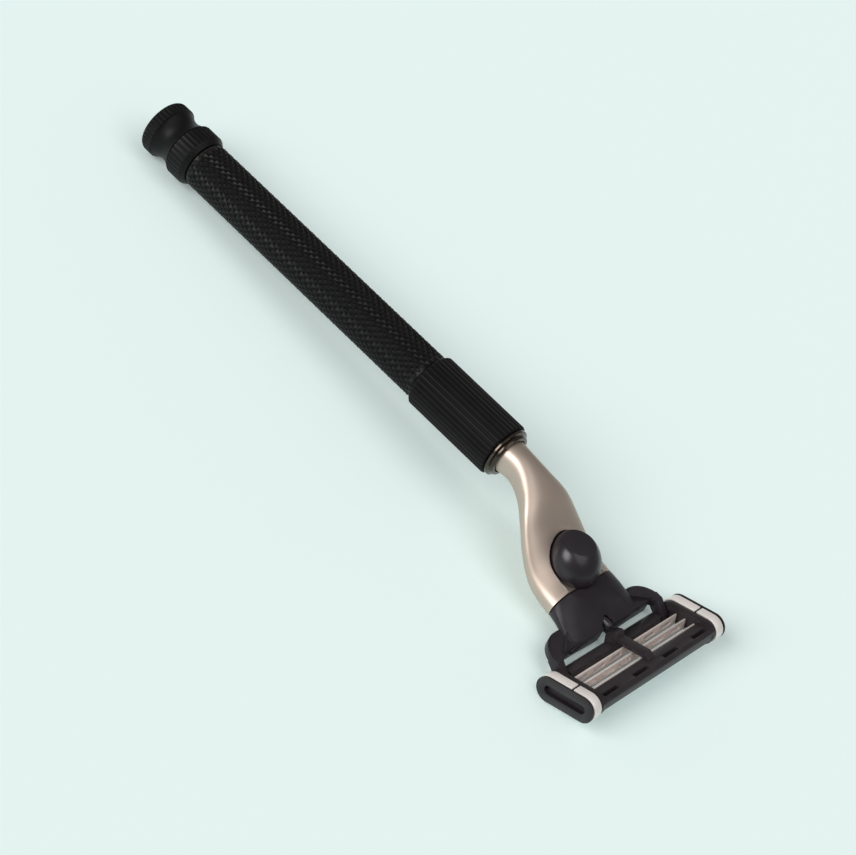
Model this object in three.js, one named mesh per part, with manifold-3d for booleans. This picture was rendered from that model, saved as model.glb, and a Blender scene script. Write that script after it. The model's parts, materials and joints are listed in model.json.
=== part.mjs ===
// A pivoting three-blade cartridge razor on a knurled metal handle.
//
// Handle frame: +X runs along the grip towards the head, +Y across the head and +Z to the button
// side; the origin is where the grip tube leaves the end collar. Head frame: +X (u) from guard to
// cap, +Y across and +Z (t) from the shaving face to the back. The whole razor is then laid on a
// table as it rests, on the rim of the end knob and the guard side of the cartridge.
// Every size is in millimetres.

import * as THREE from "three";
import { mergeVertices } from "three/addons/utils/BufferGeometryUtils.js";
import Module from "manifold-3d";

const wasm = await Module();
wasm.setup();

// ---------------------------------------------------------------- driving dimensions

const GAP = 0.3; // left between two fixed pieces that touch
const SLIP = 0.2; // radial or side clearance of a sliding piece
const ROUND = 32; // facets round a turned part

const GRIP_D = 10.05; // knurled grip tube, over its crests
const GRIP_LENGTH = 64.9; // grip tube that shows, end collar to sleeve
const GRIP_BORE_D = 7.2;

const KNOB_D = 11.7;
const KNOB_RIM = 2.8; // length of the knob's serrated rim
const KNOB_END_ROUND = 0.7;
const KNOB_SOLID = 3.2; // solid end of the knob behind its bore
const WAIST_D = 9.6;
const WAIST_LENGTH = 4.6;
const REGISTER_D = 6.4; // shoulder of the knob inside the collar
const REGISTER_LENGTH = 2.5;

const COLLAR_D = 11.7;
const COLLAR_LENGTH = 5;
const COLLAR_TAPER = 1.3;

const TIE_ROD_D = 3.2; // rod that the knob draws up; its threads are left plain
const TIE_ROD_HOLD = 5; // length of the rod inside the neck's spigot
const BUSH_LENGTH = 9;
const SPIGOT_LENGTH = 10;

const SLEEVE_D = 11.4;
const SLEEVE_LENGTH = 20.4;
const SLEEVE_WALL = 0.8;
const SLEEVE_CHAMFER = 0.6;
const SLEEVE_LIP = 1.1; // front wall of the sleeve, round the neck's shank

const BEZEL_STEP_D = [10.6, 9.2];
const BEZEL_STEP_LENGTH = [0.6, 0.8];

const SHANK_D = 7.1; // round root of the neck
const SHANK_SHOW = 1.2;

// Neck sections: how far past the sleeve, height of the centre, half width, half thickness.
const NECK_SECTIONS = [
  [0.7, 0, 3.54, 3.54],
  [4.7, 0, 3.15, 3.3],
  [8.7, -1.2, 4.4, 3.3],
  [12.7, -3.5, 6.65, 3.45],
  [16.7, -7.2, 8.2, 3.55],
  [20.7, -10.4, 8.95, 3.6],
  [24.2, -11.8, 9.05, 3.6],
  [27.3, -12.36, 9.07, 3.6],
];
const NECK_SQUARENESS = 2.3; // exponent of the section's rounded outline
const NECK_RINGS = 16;
const NECK_FACETS = 32;

const BUTTON_D = 10.4; // ball that the button is turned from
const BUTTON_BALL = 1.66; // ball's centre above the button's foot
const BUTTON_HEIGHT = 5.66; // foot to the dished thumb facet that cuts the ball off
const BUTTON_DISH = 0.25;
const BUTTON_LEAN = 1.4; // how far the facet lies behind the foot
const BUTTON_TRAVEL = 3;
const BUTTON_BANDS = 8; // facets from foot to thumb facet
const BUTTON_BACK = 3.6; // neck's end to the foot's centre
const BUTTON_LIFT = 3.3; // neck's end centre up to the button's underside
const STEM_LENGTH = 2.2;
const STEM_WIDTH = 3.2;
const NECK_TOP_WALL = 1; // metal between button pocket and mechanism cavity

const CAVITY_WIDTH = 11.6; // mechanism cavity in the neck's end
const CAVITY_DEPTH = 4.6;
const CAVITY_BELOW = 2.5; // cavity floor below the neck's end centre
const SLIDE_THICKNESS = 0.7;
const NOSE_REACH = 4; // how far the nose block enters the yoke
const NOSE_WALL = 0.8; // nose block behind the plunger and ahead of the button spring
const TAB_THICKNESS = 0.6; // ejector's tab on the button spring

const PLUNGER_D = 1.6;
const PLUNGER_TRAVEL = 1;
const PLUNGER_DROP = 0.84; // plunger axis below the neck's end centre
const PLUNGER_SPRING_LENGTH = 3.1;
const BUTTON_SPRING_D = 1.9;
const SPRING_WIRE_D = 0.25;
const SPRING_FACETS = 6;
const SPRING_STEPS = 9; // per turn

const HEAD_ANGLE = THREE.MathUtils.degToRad(18.2); // cartridge against the handle, at rest
const HEAD_CENTRE = [15.14, -2.2]; // from the neck's end centre, along X and Z
const HEAD_WIDTH = 41.5;
const HEAD_LENGTH = 12.9; // guard edge to cap edge
const HEAD_THICKNESS = 5.2;
const HEAD_SWING = THREE.MathUtils.degToRad(40);

const PIVOT = [-4.75, -0.2]; // pivot in the head frame
const TRUNNION_D = 1.2;
const TRUNNION_REACH = 1.2; // how far each pin stands out of its arm
const ARM_EYE_D = 2.2;
const ARM_WIDTH = 1.8;
const ARM_GAP = 0.5; // arm to the frame's flange

const YOKE_SHOW = 2.5; // front of the yoke's trunk to the pivot
const YOKE_FRONT = [-2.55, 10.9, 1.6]; // front section: height, half width, half thickness
const LOBE_START = 3.6; // neck's end to the back of the two lobes
const LOBE_HEIGHT = -1.85; // lobes' mid-plane from the neck's end centre
const LOBE_THICKNESS = 1.5;
const LOBE_ROUND = 5;
const LIP = [0.8, 1.7]; // lip under the lobes' front edge: thickness and depth
const ARM_START = 0.6; // arms leave the lobes this far past the trunk's front
const GUSSET = [0.45, 1.5]; // web between trunk and lobe: thickness and height
const GUSSET_SPREAD = [0.6, 2.6]; // its ends inside the trunk's back and outside its front
const TRUNK_DROP = 1.4; // exponents of the trunk's fall and of its thinning
const TRUNK_THIN = 0.9;

const END_PLATE = 0.35; // frame's end face, outside the clip
const END_SLOT = [9.2, 1.9, 1]; // recess in the end face: length, width, depth
const CLIP_WIDTH = 2;
const CLIP_THICKNESS = 0.35;
const CLIP_SPLIT = 0.45; // gap between the clip's two ends
const CLIP_SPLIT_AT = 0.9;
const END_WALL = 1; // inner flange of the frame, beside the clip

const BAR_OUTER = 6.2; // outer faces of guard bar and cap bar, from the middle
const GUARD_BAR_WIDTH = 2.5;
const GUARD_BAR_BACK = 0.7;
const CAP_BAR_WIDTH = 3.4;
const CAP_BAR_BACK = 1.55;
const BAR_CHAMFER = 0.6;
const BED_DEPTH = 1.4; // shaving face to the face of both bars under their strips
const STRIP_THICKNESS = 0.45;
const RIB_WIDTH = 2;
const RIB_THICKNESS = 1;
const CAM_WIDTH = 2.4;
const CAP_SLOT = [4.4, 0.9, 2]; // length across the head, width, depth
const CAP_SLOT_PITCH = 9.2;
const CAP_SLOT_AT = 4.9;

const BLADE_COUNT = 3;
const BLADE_PITCH = 2.1;
const BLADE_FIRST = -2.3; // upright leg of the support nearest the guard
const BLADE_THICKNESS = 0.15;
const BLADE_DEPTH = 1.5;
const BLADE_BEVEL = 0.45;
const BLADE_ANGLE = THREE.MathUtils.degToRad(22);
const BLADE_FLOAT = 0.25;
const BLADE_END_GAP = 0.35; // support to flange
const BLADE_END_BACK = 0.9; // blade to the outer side of the clip
const BLADE_SEAT = 0.12; // weld gap between blade and platform
const SUPPORT_THICKNESS = 0.35;
const SUPPORT_HEIGHT = 2.05;
const FOOT_DEPTH = 1.65; // shaving face to the bend of each support
const SUPPORT_PLATFORM = 1.1;
const SUPPORT_WINDOW = [3.4, 0.9];
const SUPPORT_WINDOW_PITCH = 5.2;

const FIN_COUNT = 4;
const FIN_PITCH = 0.3;
const FIN_INSET = 3.5; // fins end short of the flanges

// ---------------------------------------------------------------- solids

// A closed three.js geometry as a manifold solid, with its faces turned outwards.
function solid(geometry) {
  const bare = geometry.clone();
  bare.deleteAttribute("normal");
  bare.deleteAttribute("uv");
  const merged = mergeVertices(bare, 1e-4);
  const points = merged.attributes.position.array;
  const triangles = [];
  let volume = 0;
  for (let i = 0; i < merged.index.count; i += 3) {
    const [a, b, c] = [0, 1, 2].map((k) => merged.index.getX(i + k));
    if (a === b || b === c || c === a) continue;
    triangles.push(a, b, c);
    const [p, q, r] = [a, b, c].map((k) => new THREE.Vector3().fromArray(points, 3 * k));
    volume += p.dot(q.cross(r));
  }
  if (volume < 0) triangles.reverse();
  const mesh = new wasm.Mesh({
    numProp: 3,
    vertProperties: Float32Array.from(points),
    triVerts: Uint32Array.from(triangles),
  });
  return new wasm.Manifold(mesh);
}

function geometryOf(body) {
  const mesh = body.getMesh();
  const geometry = new THREE.BufferGeometry();
  geometry.setAttribute("position", new THREE.BufferAttribute(mesh.vertProperties, 3));
  geometry.setIndex(new THREE.BufferAttribute(mesh.triVerts, 1));
  geometry.computeVertexNormals();
  return geometry;
}

function join(bodies) {
  return bodies.reduce((whole, body) => whole.add(body));
}

function cut(body, tools) {
  return tools.reduce((rest, tool) => rest.subtract(tool), body);
}

function block([x0, x1], [y0, y1], [z0, z1]) {
  const box = new THREE.BoxGeometry(x1 - x0, y1 - y0, z1 - z0);
  box.translate((x0 + x1) / 2, (y0 + y1) / 2, (z0 + z1) / 2);
  return solid(box);
}

// A profile of [place along X, radius], turned round an axis at height z.
function turned(profile, facets = ROUND, z = 0) {
  const points = profile.map(([along, radius]) => new THREE.Vector2(radius, along));
  const lathe = new THREE.LatheGeometry(points, facets);
  lathe.rotateZ(-Math.PI / 2);
  lathe.translate(0, 0, z);
  return solid(lathe);
}

function rodX([x0, x1], radius, z = 0, facets = 24) {
  return turned([[x0, 0], [x0, radius], [x1, radius], [x1, 0]], facets, z);
}

function rodY([y0, y1], radius, x, z, facets = 24) {
  const rod = new THREE.CylinderGeometry(radius, radius, y1 - y0, facets);
  rod.translate(x, (y0 + y1) / 2, z);
  return solid(rod);
}

// A flat outline in the X-Z plane, pushed along Y.
function acrossHead(outline, [y0, y1]) {
  const prism = new THREE.ExtrudeGeometry(outline, {
    depth: y1 - y0,
    bevelEnabled: false,
    curveSegments: 10,
  });
  prism.rotateX(Math.PI / 2);
  prism.translate(0, y1, 0);
  return solid(prism);
}

function polygon(points) {
  return new THREE.Shape(points.map(([x, z]) => new THREE.Vector2(x, z)));
}

// A slot-shaped outline, its long axis along X, centred on the origin.
function stadium(length, width) {
  const r = width / 2;
  const straight = length / 2 - r;
  const shape = new THREE.Shape();
  shape.moveTo(-straight, -r);
  shape.lineTo(straight, -r);
  shape.absarc(straight, 0, r, -Math.PI / 2, Math.PI / 2, false);
  shape.lineTo(-straight, r);
  shape.absarc(-straight, 0, r, Math.PI / 2, Math.PI * 1.5, false);
  return shape;
}

// A span across the head on one side, +1 or -1, as [lower, upper].
function span(side, inner, outer) {
  return side > 0 ? [inner, outer] : [-outer, -inner];
}

// Sections [x, z, half width, half thickness, slope] joined into one closed skin.
function loft(sections, squareness, facets) {
  const positions = [];
  for (const [x, z, halfWidth, halfThickness, slope] of sections) {
    const tilt = Math.atan(slope);
    for (let k = 0; k < facets; k++) {
      const angle = (2 * Math.PI * k) / facets;
      const c = Math.cos(angle);
      const s = Math.sin(angle);
      const across = halfWidth * Math.sign(c) * Math.abs(c) ** (2 / squareness);
      const up = halfThickness * Math.sign(s) * Math.abs(s) ** (2 / squareness);
      positions.push(x - up * Math.sin(tilt), across, z + up * Math.cos(tilt));
    }
  }
  const first = sections[0];
  const last = sections[sections.length - 1];
  positions.push(first[0], 0, first[1], last[0], 0, last[1]);
  const end = (sections.length - 1) * facets;
  const hub = sections.length * facets;
  const index = [];
  for (let k = 0; k < facets; k++) {
    const next = (k + 1) % facets;
    for (let ring = 0; ring < end; ring += facets) {
      index.push(ring + k, ring + next, ring + facets + k);
      index.push(ring + next, ring + facets + next, ring + facets + k);
    }
    index.push(hub, next, k, hub + 1, end + k, end + next);
  }
  const skin = new THREE.BufferGeometry();
  skin.setAttribute("position", new THREE.Float32BufferAttribute(positions, 3));
  skin.setIndex(index);
  return solid(skin);
}

// A smooth run of loft sections through a few given ones, square to X at both ends.
function smoothSections(given, steps) {
  const through = (points) => new THREE.CatmullRomCurve3(points, false, "centripetal");
  const centre = through(given.map(([x, z]) => new THREE.Vector3(x, 0, z)));
  const size = through(given.map(([, , w, h], i) => new THREE.Vector3(w, h, i)));
  const sections = [];
  for (let i = 0; i <= steps; i++) {
    const p = centre.getPoint(i / steps);
    const way = centre.getTangent(i / steps);
    const s = size.getPoint(i / steps);
    const slope = i === 0 || i === steps ? 0 : way.z / way.x;
    sections.push([p.x, p.z, s.x, s.y, slope]);
  }
  return sections;
}

class Coil extends THREE.Curve {
  constructor(x0, x1, radius, turns) {
    super();
    Object.assign(this, { x0, x1, radius, turns });
  }

  getPoint(t, target = new THREE.Vector3()) {
    const angle = 2 * Math.PI * this.turns * t;
    const x = this.x0 + (this.x1 - this.x0) * t;
    return target.set(x, this.radius * Math.cos(angle), this.radius * Math.sin(angle));
  }
}

// A compression spring along X, its wire inside x0 and x1.
function spring([x0, x1], outerD, turns, y, z) {
  const r = SPRING_WIRE_D / 2;
  const section = [];
  for (let k = 0; k < SPRING_FACETS; k++) {
    const angle = (2 * Math.PI * k) / SPRING_FACETS;
    section.push([r * Math.cos(angle), r * Math.sin(angle)]);
  }
  const wire = new THREE.ExtrudeGeometry(polygon(section), {
    extrudePath: new Coil(x0 + r, x1 - r, outerD / 2 - r, turns),
    steps: turns * SPRING_STEPS,
    bevelEnabled: false,
  });
  wire.translate(0, y, z);
  return solid(wire);
}

// ---------------------------------------------------------------- materials and nodes

function finish(color, roughness, metalness) {
  return () => new THREE.MeshStandardMaterial({ color, roughness, metalness });
}

const blackMetal = finish(0x111112, 0.5, 0.6);
const gunmetal = finish(0x3b3733, 0.25, 1);
const satinNickel = finish(0xb8aa9e, 0.35, 1);
const steel = finish(0xc9c5c0, 0.3, 1);
const brass = finish(0xb59a5a, 0.35, 1);
const blackPlastic = finish(0x1b191c, 0.45, 0);
const silverClip = finish(0xd9d2ce, 0.35, 1);
const rubber = finish(0x2a2b2e, 0.8, 0);
const lubricant = finish(0x9fc3bd, 0.6, 0);

const handle = new THREE.Group();
const head = new THREE.Group();

function place(group, name, body, material) {
  const mesh = new THREE.Mesh(geometryOf(body), material());
  mesh.name = name;
  group.add(mesh);
}

// ---------------------------------------------------------------- grip and end knob

const tubeBore = GRIP_BORE_D / 2;
const sleeveEnd = GRIP_LENGTH + SLEEVE_LENGTH;
const tubeFront = sleeveEnd - SLEEVE_LIP - GAP;
const knobFront = -COLLAR_LENGTH - GAP;
const waistBack = knobFront - WAIST_LENGTH;
const knobEnd = waistBack - KNOB_RIM;
const rodBore = TIE_ROD_D / 2 + GAP;
const edge = 0.2; // broken edges of turned parts

function endKnob() {
  const rim = KNOB_D / 2;
  const shoulder = rim - 2 * edge;
  const profile = [[knobEnd, 0]];
  for (let i = 0; i <= 3; i++) {
    const angle = (Math.PI / 6) * i;
    profile.push([
      knobEnd + KNOB_END_ROUND * (1 - Math.cos(angle)),
      rim - KNOB_END_ROUND * (1 - Math.sin(angle)),
    ]);
  }
  profile.push([waistBack - edge, rim], [waistBack, rim - edge]);
  for (let i = 0; i <= 6; i++) {
    const dip = Math.sin((Math.PI * i) / 6) * (shoulder - WAIST_D / 2);
    profile.push([waistBack + edge + ((WAIST_LENGTH - edge) * i) / 6, shoulder - dip]);
  }
  profile.push([knobFront, REGISTER_D / 2], [knobFront + REGISTER_LENGTH, REGISTER_D / 2]);
  profile.push([knobFront + REGISTER_LENGTH, rodBore], [knobEnd + KNOB_SOLID, rodBore]);
  profile.push([knobEnd + KNOB_SOLID, 0]);
  return turned(profile);
}

function endCollar() {
  const bore = REGISTER_D / 2 + GAP;
  const r = COLLAR_D / 2;
  return turned([
    [-COLLAR_LENGTH, bore], [-COLLAR_LENGTH, r - edge], [-COLLAR_LENGTH + edge, r],
    [-COLLAR_TAPER, r], [-GAP, GRIP_D / 2], [-GAP, bore], [-COLLAR_LENGTH, bore],
  ]);
}

function gripTube() {
  const seat = SLEEVE_D / 2 - SLEEVE_WALL - GAP;
  const step = GRIP_LENGTH - GAP;
  return turned([
    [0, tubeBore], [0, GRIP_D / 2], [step, GRIP_D / 2], [step, seat],
    [tubeFront, seat], [tubeFront, tubeBore], [0, tubeBore],
  ]);
}

function rearBush() {
  const r = tubeBore - GAP;
  return turned([
    [0, rodBore], [0, r], [BUSH_LENGTH, r], [BUSH_LENGTH, rodBore], [0, rodBore],
  ]);
}

function ribbedSleeve() {
  const r = SLEEVE_D / 2;
  const bore = r - SLEEVE_WALL;
  const lipBore = SHANK_D / 2 + GAP;
  return turned([
    [GRIP_LENGTH, bore], [GRIP_LENGTH, r - SLEEVE_CHAMFER], [GRIP_LENGTH + SLEEVE_CHAMFER, r],
    [sleeveEnd - edge, r], [sleeveEnd, r - edge], [sleeveEnd, lipBore],
    [sleeveEnd - SLEEVE_LIP, lipBore], [sleeveEnd - SLEEVE_LIP, bore], [GRIP_LENGTH, bore],
  ]);
}

function frontBezel() {
  const bore = SHANK_D / 2 + GAP;
  const [outer, inner] = BEZEL_STEP_D.map((d) => d / 2);
  const start = sleeveEnd + GAP;
  const step = start + BEZEL_STEP_LENGTH[0];
  const end = step + BEZEL_STEP_LENGTH[1];
  return turned([
    [start, bore], [start, outer], [step - edge, outer], [step, outer - edge], [step, inner],
    [end - edge, inner], [end, inner - edge], [end, bore], [start, bore],
  ]);
}

const spigotEnd = sleeveEnd - SPIGOT_LENGTH;
const rodSpan = [knobEnd + KNOB_SOLID + GAP, spigotEnd + TIE_ROD_HOLD];

place(handle, "end_knob", endKnob(), blackMetal);
place(handle, "end_collar", endCollar(), blackMetal);
place(handle, "grip_tube", gripTube(), blackMetal);
place(handle, "rear_bush", rearBush(), brass);
place(handle, "tie_rod", rodX(rodSpan, TIE_ROD_D / 2), steel);
place(handle, "ribbed_sleeve", ribbedSleeve(), blackMetal);
place(handle, "front_bezel", frontBezel(), gunmetal);

// ---------------------------------------------------------------- neck

const neckSections = NECK_SECTIONS.map(([x, z, w, h]) => [sleeveEnd + x, z, w, h]);
const [neckEnd, dockZ] = neckSections[neckSections.length - 1];
const buttonX = neckEnd - BUTTON_BACK;
const buttonZ = dockZ + BUTTON_LIFT;
const pocketFloor = buttonZ - GAP;
const cavityTop = pocketFloor - NECK_TOP_WALL;
const cavityFloor = dockZ - CAVITY_BELOW;
const cavityStart = neckEnd - CAVITY_DEPTH;
const cavityHalf = CAVITY_WIDTH / 2;
const slideTop = cavityTop - GAP;
const slideFloor = slideTop - SLIDE_THICKNESS;
const stemX = [buttonX - STEM_LENGTH / 2 + GAP, buttonX + STEM_LENGTH / 2 + GAP];
const stemHalf = STEM_WIDTH / 2;

// Radius of the button at a height above its foot.
function buttonRadius(height) {
  return Math.sqrt((BUTTON_D / 2) ** 2 - (height - BUTTON_BALL) ** 2);
}

// The button's side from foot to facet, as [height, radius], grown by a clearance.
function buttonProfile(grow) {
  const profile = [[0, buttonRadius(0) + grow]];
  for (let i = 1; i <= BUTTON_BANDS; i++) {
    const height = (BUTTON_HEIGHT * i) / BUTTON_BANDS;
    profile.push([height + grow, buttonRadius(height) + grow]);
  }
  return profile;
}

// A profile of [height, radius] turned round Z and leaning back as it rises.
function leaningDome(profile, base) {
  const points = profile.map(([height, radius]) => new THREE.Vector2(radius, height));
  const lathe = new THREE.LatheGeometry(points, ROUND);
  lathe.rotateX(Math.PI / 2);
  const lean = -BUTTON_LEAN / BUTTON_HEIGHT;
  lathe.applyMatrix4(new THREE.Matrix4().set(
    1, 0, lean, buttonX,
    0, 1, 0, 0,
    0, 0, 1, base,
    0, 0, 0, 1));
  return solid(lathe);
}

// Room for the button at rest and on its way forward, over the neck and the yoke.
function buttonPocket() {
  const side = buttonProfile(GAP);
  const ceiling = side[side.length - 1][0];
  const dome = leaningDome([[0, 0], ...side, [ceiling, 0]], pocketFloor);
  const half = side.map(([height, radius]) => [radius, height]);
  const outline = polygon([...half, ...half.map(([y, z]) => [-y, z]).reverse()]);
  const run = new THREE.ExtrudeGeometry(outline, {
    depth: BUTTON_BACK + BUTTON_D / 2 + BUTTON_TRAVEL,
    bevelEnabled: false,
  });
  run.rotateZ(Math.PI / 2);
  run.rotateY(Math.PI / 2);
  run.translate(buttonX, 0, pocketFloor);
  return dome.add(solid(run));
}

function neck() {
  const skin = loft(smoothSections(neckSections, NECK_RINGS), NECK_SQUARENESS, NECK_FACETS);
  const root = sleeveEnd - SLEEVE_LIP;
  const shank = rodX([root, sleeveEnd + SHANK_SHOW], SHANK_D / 2, 0, ROUND);
  const spigot = rodX([spigotEnd, root + edge], tubeBore - GAP);
  const threadBore = rodX([spigotEnd - 1, rodSpan[1] + GAP], rodBore);
  const cavity = block([cavityStart, neckEnd + 1], [-cavityHalf, cavityHalf],
    [cavityFloor, cavityTop]);
  const slot = block([stemX[0] - GAP, neckEnd + 1], [-stemHalf - GAP, stemHalf + GAP],
    [cavityTop - 1, pocketFloor + 1]);
  return cut(join([skin, shank, spigot]), [threadBore, buttonPocket(), cavity, slot]);
}

place(handle, "neck", neck(), satinNickel);

// ---------------------------------------------------------------- release mechanism

const noseStart = cavityStart + GAP;
const noseEnd = neckEnd + NOSE_REACH;
const noseHalf = cavityHalf - GAP;
const noseTop = slideFloor - GAP;
const plungerZ = dockZ - PLUNGER_DROP;
const plungerR = PLUNGER_D / 2;
const channelHalf = BUTTON_SPRING_D / 2 + SLIP;
const springY = noseHalf - channelHalf - NOSE_WALL;
const springZ = noseTop - channelHalf;
const channelFront = noseEnd - NOSE_WALL;
const tabX = [noseStart + GAP, noseStart + GAP + TAB_THICKNESS];

function noseBlock() {
  const body = block([noseStart, noseEnd], [-noseHalf, noseHalf],
    [cavityFloor + GAP, noseTop]);
  const bore = rodX([noseStart + NOSE_WALL, noseEnd + 1], plungerR + SLIP, plungerZ);
  const channel = block([noseStart - 1, channelFront],
    [springY - channelHalf, springY + channelHalf], [springZ - channelHalf, noseTop + 1]);
  return cut(body, [bore, channel]);
}

// The plate that pushes the yoke off: a hole for the button's stem and a tab on the spring.
function ejectorSlide() {
  const half = noseHalf - SLIP;
  const plate = block([noseStart, neckEnd], [-half, half], [slideFloor, slideTop]);
  const stemHole = block([stemX[0] - GAP, stemX[1] + GAP], [-stemHalf - GAP, stemHalf + GAP],
    [slideFloor - 1, slideTop + 1]);
  const tab = block(tabX, [springY - channelHalf + SLIP, springY + channelHalf - SLIP],
    [springZ - channelHalf + GAP, slideFloor + SLIDE_THICKNESS / 2]);
  return plate.subtract(stemHole).add(tab);
}

function releaseButton() {
  const side = buttonProfile(0);
  const facetR = buttonRadius(BUTTON_HEIGHT);
  const facet = [2, 1, 0].map((part) => [
    BUTTON_HEIGHT - BUTTON_DISH * (1 - (part / 3) ** 2), facetR * (part / 3),
  ]);
  const stem = block(stemX, [-stemHalf, stemHalf], [slideFloor, buttonZ + GAP]);
  return leaningDome([[0, 0], ...side, ...facet], buttonZ).add(stem);
}

const headPlace = [neckEnd + HEAD_CENTRE[0], dockZ + HEAD_CENTRE[1]];

// A point of the head frame in the handle frame, both as [along, up].
function fromHead([u, t]) {
  const c = Math.cos(HEAD_ANGLE);
  const s = Math.sin(HEAD_ANGLE);
  return [headPlace[0] + u * c - t * s, headPlace[1] + u * s + t * c];
}

const [pivotX, pivotZ] = fromHead(PIVOT);
const trunkFront = pivotX - YOKE_SHOW;
const tipCentre = trunkFront - SLIP; // middle of the plunger's round tip, at rest
const plungerTail = noseStart + NOSE_WALL + PLUNGER_SPRING_LENGTH;

function plunger() {
  const profile = [[plungerTail, 0], [plungerTail, plungerR]];
  for (let i = 0; i <= 4; i++) {
    const angle = (Math.PI / 8) * i;
    profile.push([tipCentre + plungerR * Math.sin(angle), plungerR * Math.cos(angle)]);
  }
  profile[profile.length - 1][1] = 0;
  return turned(profile, 20, plungerZ);
}

place(handle, "nose_block", noseBlock(), blackPlastic);
place(handle, "ejector_slide", ejectorSlide(), blackPlastic);
place(handle, "release_button", releaseButton(), blackPlastic);
place(handle, "button_spring",
  spring([tabX[1], channelFront], BUTTON_SPRING_D, 6, springY, springZ), steel);
place(handle, "plunger", plunger(), blackPlastic);
place(handle, "plunger_spring",
  spring([noseStart + NOSE_WALL, plungerTail], PLUNGER_D, 4, 0, plungerZ), steel);

// ---------------------------------------------------------------- head layout and cam

const headHalf = HEAD_WIDTH / 2;
const clipOuter = headHalf - END_PLATE - GAP;
const clipInner = clipOuter - CLIP_WIDTH;
const flangeOuter = clipInner - GAP;
const openHalf = flangeOuter - END_WALL; // half width between the frame's two flanges
const armOuter = openHalf - ARM_GAP;
const armInner = armOuter - ARM_WIDTH;
const roundR = HEAD_THICKNESS / 2;
const stripBed = BED_DEPTH - roundR;
const supportFoot = FOOT_DEPTH - roundR;
const guardInner = -BAR_OUTER + GUARD_BAR_WIDTH;
const capInner = BAR_OUTER - CAP_BAR_WIDTH;

// The plunger's tip seen from the head, as the head swings up by an angle.
function tipFromHead(swing) {
  const back = tipCentre - pivotX - (PLUNGER_TRAVEL * swing) / HEAD_SWING;
  const up = plungerZ - pivotZ;
  const turn = HEAD_ANGLE + swing;
  return [
    PIVOT[0] + back * Math.cos(turn) + up * Math.sin(turn),
    PIVOT[1] - back * Math.sin(turn) + up * Math.cos(turn),
  ];
}

// The cam's face runs along the tip's path, one tip radius and a slip away.
function camFace() {
  const steps = 6;
  const face = [];
  for (let i = 0; i <= steps; i++) {
    const swing = (HEAD_SWING * i) / steps;
    const [u, t] = tipFromHead(swing);
    const [u1, t1] = tipFromHead(swing + 0.01);
    const length = Math.hypot(u1 - u, t1 - t);
    const away = plungerR + SLIP;
    face.push([u + (away * (t1 - t)) / length, t - (away * (u1 - u)) / length]);
  }
  return face;
}

function camOutline() {
  const face = camFace();
  const first = face[0];
  const last = face[face.length - 1];
  return [
    [first[0] - edge, 0], [first[0] - edge, first[1] - edge], ...face,
    [last[0] + 2 * edge, last[1] - edge], [last[0] + 4 * edge, roundR - RIB_THICKNESS / 2],
    [last[0] + 2 * edge, roundR - RIB_THICKNESS], [guardInner, 0],
  ];
}

// How far behind the pivot the cam comes when the head is fully up.
function camSweep() {
  const turn = HEAD_ANGLE + HEAD_SWING;
  const back = camOutline().map(([u, t]) =>
    (t - PIVOT[1]) * Math.sin(turn) - (u - PIVOT[0]) * Math.cos(turn));
  return Math.max(...back);
}

// ---------------------------------------------------------------- yoke

const yokeStart = neckEnd + GAP;

function yokeTrunk() {
  const [drop, halfWidth, halfThickness] = YOKE_FRONT;
  const [, , neckWidth, neckThickness] = neckSections[neckSections.length - 1];
  const length = trunkFront - yokeStart;
  return loft([0, 0.25, 0.55, 1].map((part) => [
    yokeStart + length * part,
    dockZ + drop * part ** TRUNK_DROP,
    neckWidth + (halfWidth - neckWidth) * part,
    neckThickness + (halfThickness - neckThickness) * part ** TRUNK_THIN,
    0,
  ]), NECK_SQUARENESS, NECK_FACETS);
}

// A flat lobe on one side, seen from above, and the arm that it carries to the pivot.
function yokeArm(side) {
  const lobeX = neckEnd + LOBE_START;
  const lobeZ = dockZ + LOBE_HEIGHT;
  const half = LOBE_THICKNESS / 2;
  const outline = new THREE.Shape();
  outline.moveTo(lobeX, 0);
  outline.lineTo(lobeX, armOuter - LOBE_ROUND);
  outline.absarc(lobeX + LOBE_ROUND, armOuter - LOBE_ROUND, LOBE_ROUND, Math.PI, Math.PI / 2, true);
  outline.lineTo(trunkFront + ARM_START, armOuter);
  outline.lineTo(trunkFront + ARM_START, armInner);
  outline.lineTo(trunkFront - SLIP, armInner - 1);
  outline.lineTo(trunkFront - SLIP, 0);
  const lobe = new THREE.ExtrudeGeometry(outline, {
    depth: LOBE_THICKNESS,
    bevelEnabled: false,
    curveSegments: 8,
  });
  if (side < 0) lobe.scale(1, -1, 1);
  lobe.translate(0, 0, lobeZ - half);
  const eyeR = ARM_EYE_D / 2;
  const width = span(side, armInner, armOuter);
  const arm = acrossHead(polygon([
    [trunkFront - 1, lobeZ + half], [trunkFront + ARM_START, lobeZ + half],
    [pivotX + eyeR * 0.6, pivotZ + eyeR * 0.8], [pivotX, pivotZ - eyeR],
    [trunkFront - 1, lobeZ - half],
  ]), width);
  const eye = rodY(width, eyeR, pivotX, pivotZ);
  const pin = rodY(span(side, armInner, armOuter + TRUNNION_REACH), TRUNNION_D / 2,
    pivotX, pivotZ);
  const lip = block([trunkFront - SLIP - LIP[0], trunkFront - SLIP], span(side, 0, armInner - 1),
    [lobeZ - half - LIP[1], lobeZ]);
  return join([solid(lobe), arm, eye, pin, lip, gusset(side, lobeX, lobeZ)]);
}

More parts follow.
